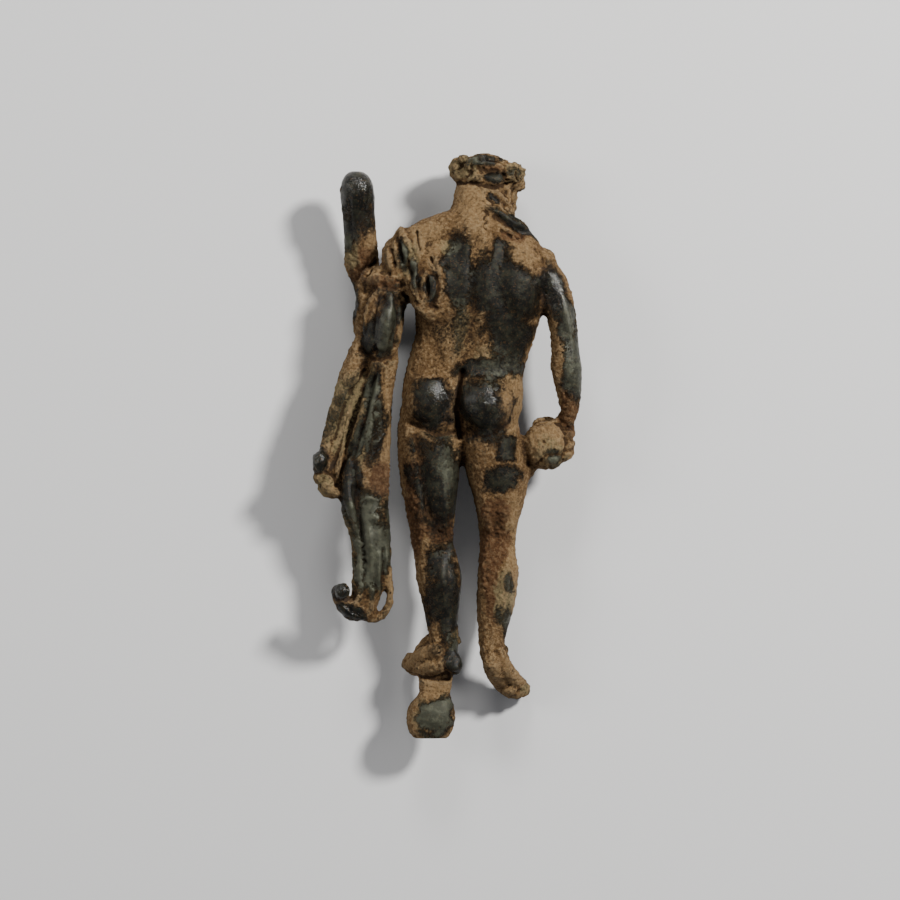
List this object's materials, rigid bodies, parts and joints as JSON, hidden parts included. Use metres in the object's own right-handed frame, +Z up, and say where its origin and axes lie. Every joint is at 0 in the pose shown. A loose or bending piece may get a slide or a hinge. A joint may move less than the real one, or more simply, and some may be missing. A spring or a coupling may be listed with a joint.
{
  "type": "bronze statuette",
  "caption": "Small solid-cast bronze statuette of nude, bearded Hercules with club, lion's skin and apples, and a casting tang under one foot. It lies on its front, its back up.",
  "frame": {"origin": "centre of the footprint of the statuette as it lies on its front, on the floor", "axes": "+Z up out of the statuette's back, +Y towards its head, +X to its right side"},
  "size_m": [0.043, 0.0936, 0.016],
  "materials": {
    "bronze": "dark green-black patina with earthy brown crust"
  },
  "bodies": {
    "root": {"statuette": "bronze"}
  },
  "joints": []
}
